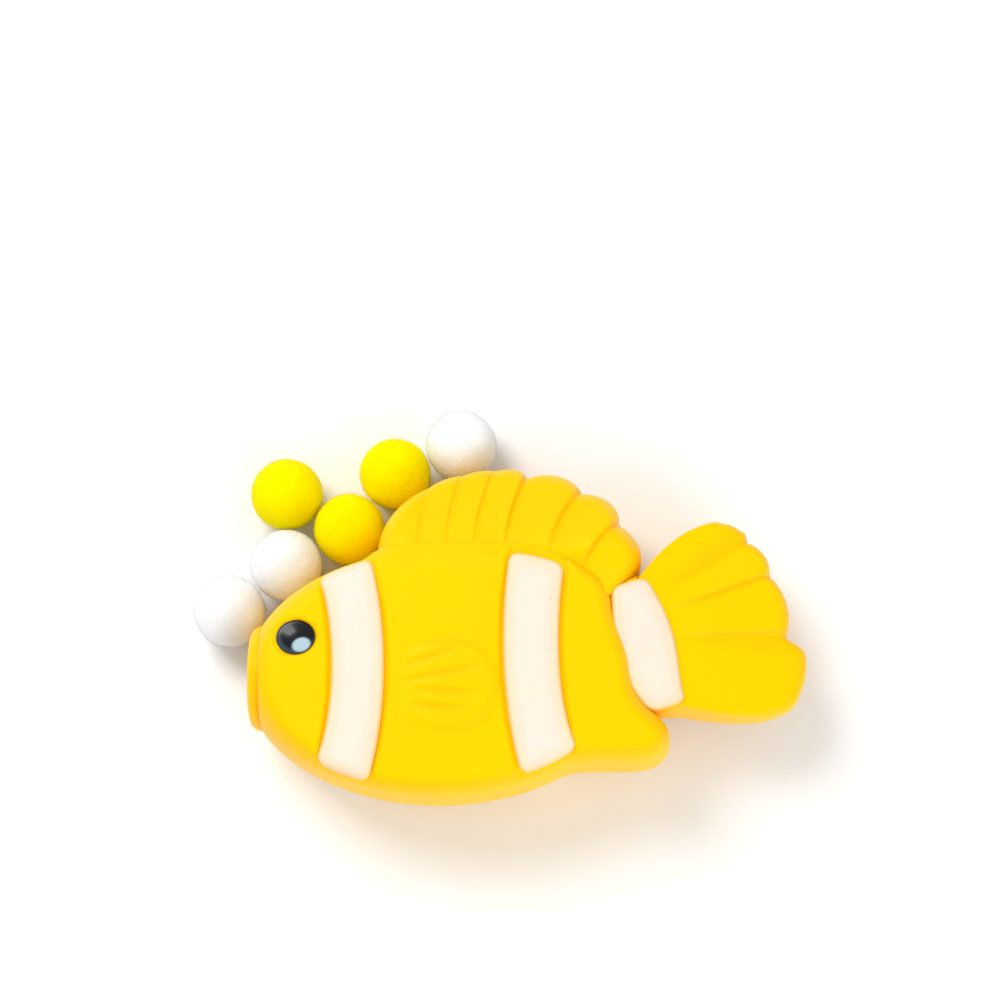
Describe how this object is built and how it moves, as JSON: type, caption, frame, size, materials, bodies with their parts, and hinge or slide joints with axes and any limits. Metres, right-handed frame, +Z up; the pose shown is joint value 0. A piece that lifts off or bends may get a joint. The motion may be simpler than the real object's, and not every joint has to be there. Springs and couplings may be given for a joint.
{
  "type": "squeeze popper fish toy",
  "caption": "Hollow soft fish with white bands lying on its side; pressing its pectoral fins blows a foam ball out of the round mouth, with loose balls beside it.",
  "frame": {"origin": "on the floor under the middle of the body band, on that band's flat outer face on the right side", "axes": "+X from the head to the tail, +Y from the belly to the dorsal fin, +Z up out of the left side"},
  "size_m": [0.1523, 0.1005, 0.036],
  "materials": {
    "yellow_vinyl": "satin",
    "white_vinyl": "satin",
    "eye_black": "gloss",
    "barrel_plastic": "satin",
    "yellow_foam": "matte",
    "white_foam": "matte"
  },
  "bodies": {
    "fish": {"left_shell": "yellow_vinyl", "left_head_band": "white_vinyl", "left_body_band": "white_vinyl", "left_tail_band": "white_vinyl", "left_eye": "eye_black", "right_shell": "yellow_vinyl", "right_head_band": "white_vinyl", "right_body_band": "white_vinyl", "right_tail_band": "white_vinyl", "right_eye": "eye_black", "barrel": "barrel_plastic", "mouth_lip": "yellow_vinyl"},
    "left_pad": {"left_pectoral_pad": "yellow_vinyl"},
    "right_pad": {"right_pectoral_pad": "yellow_vinyl"},
    "white_ball_1": {"white_ball_1": "white_foam"},
    "white_ball_2": {"white_ball_2": "white_foam"},
    "white_ball_3": {"white_ball_3": "white_foam"},
    "yellow_ball_1": {"yellow_ball_1": "yellow_foam"},
    "yellow_ball_2": {"yellow_ball_2": "yellow_foam"},
    "yellow_ball_3": {"yellow_ball_3": "yellow_foam"}
  },
  "joints": [
    {"name": "left_squeeze", "type": "slide", "parent": "fish", "child": "left_pad", "axis": [0, 0, -1], "range_m": [0, 0.008], "stiffness_N_per_m": 600},
    {"name": "right_squeeze", "type": "slide", "parent": "fish", "child": "right_pad", "axis": [0, 0, 1], "range_m": [0, 0.008], "stiffness_N_per_m": 600},
    {"name": "white_ball_1_lift", "type": "slide", "parent": "fish", "child": "white_ball_1", "axis": [0, 0, 1], "range_m": [0, 0.04]},
    {"name": "white_ball_2_lift", "type": "slide", "parent": "fish", "child": "white_ball_2", "axis": [0, 0, 1], "range_m": [0, 0.04]},
    {"name": "white_ball_3_lift", "type": "slide", "parent": "fish", "child": "white_ball_3", "axis": [0, 0, 1], "range_m": [0, 0.04]},
    {"name": "yellow_ball_1_lift", "type": "slide", "parent": "fish", "child": "yellow_ball_1", "axis": [0, 0, 1], "range_m": [0, 0.04]},
    {"name": "yellow_ball_2_lift", "type": "slide", "parent": "fish", "child": "yellow_ball_2", "axis": [0, 0, 1], "range_m": [0, 0.04]},
    {"name": "yellow_ball_3_lift", "type": "slide", "parent": "fish", "child": "yellow_ball_3", "axis": [0, 0, 1], "range_m": [0, 0.04]}
  ],
  "couplings": [
    {"joint": "right_squeeze", "follows": "left_squeeze", "ratio": 1}
  ]
}
